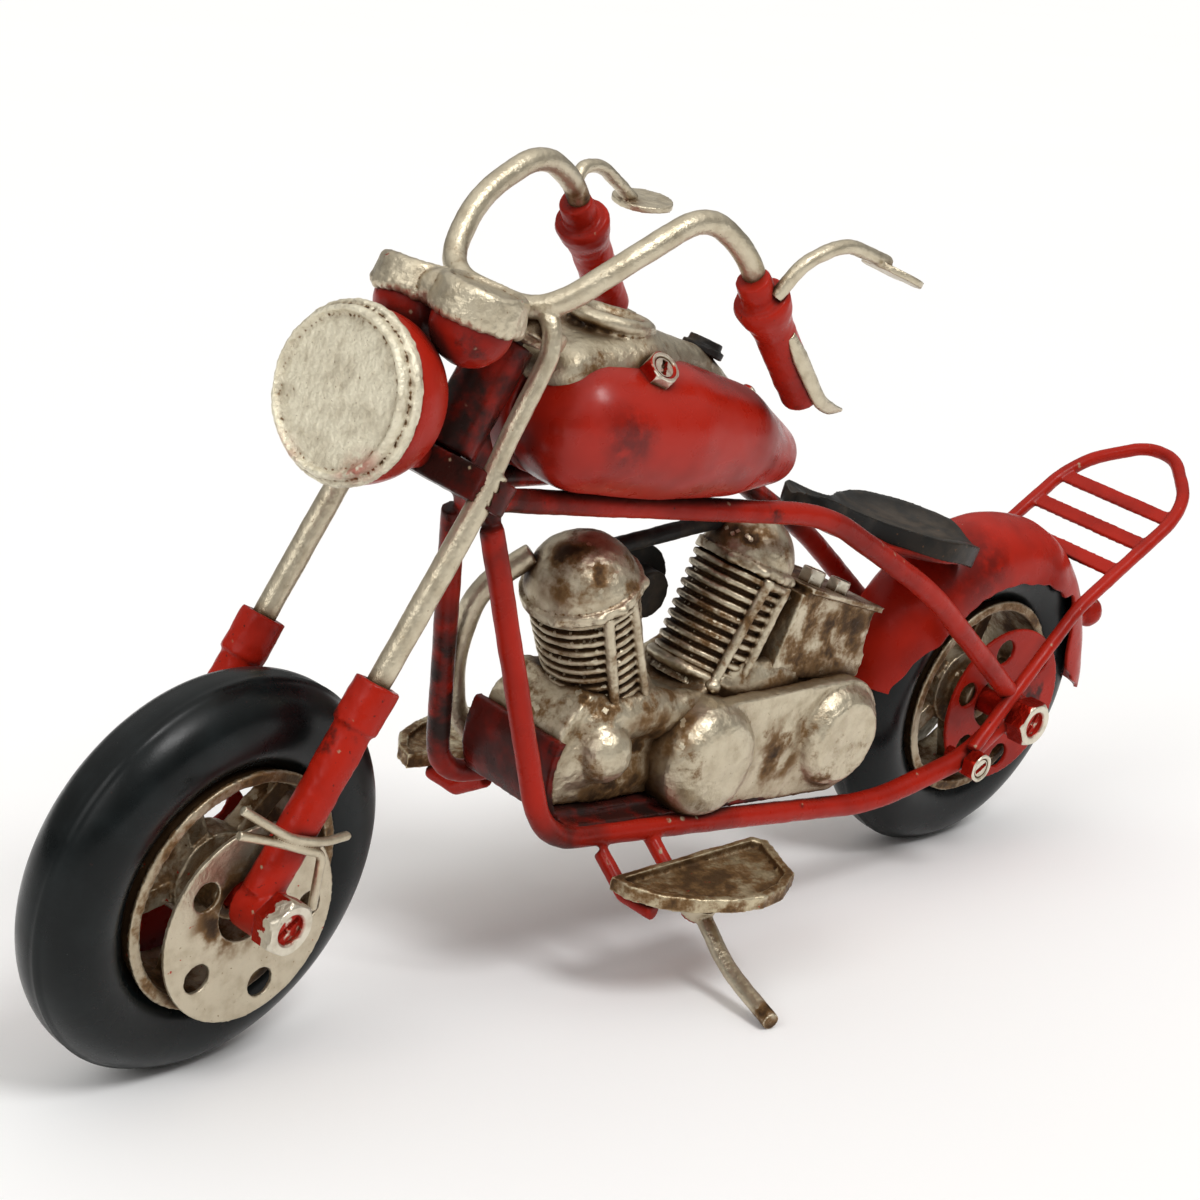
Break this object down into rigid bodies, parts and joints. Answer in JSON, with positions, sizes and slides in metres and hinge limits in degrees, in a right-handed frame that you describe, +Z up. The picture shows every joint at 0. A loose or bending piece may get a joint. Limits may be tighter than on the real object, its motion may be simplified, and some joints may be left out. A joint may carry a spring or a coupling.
{
  "type": "toy motorcycle",
  "caption": "Hand-made tin chopper model in worn red and silver that leans on its side stand; wheels roll, the fork steers and the stand folds.",
  "frame": {"origin": "bottom centre of the bounding box of the motorcycle as it leans on its side stand, on the floor", "axes": "+X forwards, +Y to the rider's left, +Z up; the bike leans 9 degrees to its left and the fork is turned 5.4 degrees to the left"},
  "size_m": [0.269, 0.0852, 0.1377],
  "materials": {
    "red_enamel": "satin red enamel, worn, with brown and black patches",
    "silver_paint": "rough silver paint over tin and solder, brown in the hollows",
    "bare_steel": "dull steel with specks of red paint",
    "black_paint": "matte black paint rubbed brown at the edges",
    "tyre_rubber": "smooth black rubber with a moulding seam"
  },
  "bodies": {
    "frame": {"head_tube": "red_enamel", "left_cradle_tube": "red_enamel", "right_cradle_tube": "red_enamel", "left_top_tube": "red_enamel", "right_top_tube": "red_enamel", "rear_axle": "bare_steel", "rear_red_disc": "red_enamel", "rear_silver_disc": "bare_steel", "frame_bolts": "bare_steel", "crankcase": "silver_paint", "engine_tray": "red_enamel", "front_cylinder": "silver_paint", "rear_cylinder": "silver_paint", "front_dome": "silver_paint", "rear_dome": "silver_paint", "primary_cover": "silver_paint", "carburettor": "black_paint", "oil_tank": "silver_paint", "exhaust": "silver_paint", "left_tank_half": "red_enamel", "right_tank_half": "red_enamel", "tank_console": "silver_paint", "filler_cap": "black_paint", "seat_pad": "black_paint", "seat_pan": "red_enamel", "rear_fender": "red_enamel", "tail_lamp": "red_enamel", "rack_rod": "red_enamel", "rack_slats": "red_enamel", "left_footboard": "silver_paint", "right_footboard": "silver_paint", "footboard_bars": "red_enamel", "stand_bracket": "red_enamel"},
    "fork": {"steering_stem": "red_enamel", "upper_yoke": "silver_paint", "left_fork_tube": "silver_paint", "right_fork_tube": "silver_paint", "left_slider": "red_enamel", "right_slider": "red_enamel", "brake_wires": "bare_steel", "headlight_shell": "red_enamel", "headlight_face": "silver_paint", "gauge_bowls": "red_enamel", "gauge_lids": "silver_paint", "handlebar": "silver_paint", "left_grip": "red_enamel", "right_grip": "red_enamel", "left_lever": "bare_steel", "right_lever": "bare_steel", "left_mirror": "bare_steel", "right_mirror": "bare_steel", "front_axle": "bare_steel", "front_silver_disc": "bare_steel", "front_red_disc": "red_enamel"},
    "front_wheel": {"front_tyre": "tyre_rubber", "front_wheel": "silver_paint"},
    "rear_wheel": {"rear_tyre": "tyre_rubber", "rear_wheel": "silver_paint"},
    "kickstand": {"kickstand": "bare_steel"}
  },
  "joints": [
    {"name": "steering", "type": "hinge", "parent": "frame", "child": "fork", "pos_m": [0.10075, -0.00139, 0.0315], "axis": [-0.4695, 0.1381, 0.8721], "range_deg": [-20, 12]},
    {"name": "front_wheel_spin", "type": "hinge", "parent": "fork", "child": "front_wheel", "pos_m": [0.10206, -0.00114, 0.03217], "axis": [-0.0831, 0.9764, -0.1994], "continuous": true},
    {"name": "rear_wheel_spin", "type": "hinge", "parent": "frame", "child": "rear_wheel", "pos_m": [-0.07863, -0.00128, 0.03219], "axis": [0, 0.9877, -0.1564], "continuous": true},
    {"name": "stand_fold", "type": "hinge", "parent": "frame", "child": "kickstand", "pos_m": [0.01377, 0.02022, 0.01451], "axis": [0, 0.5446, 0.8387], "range_deg": [0, 95]}
  ]
}
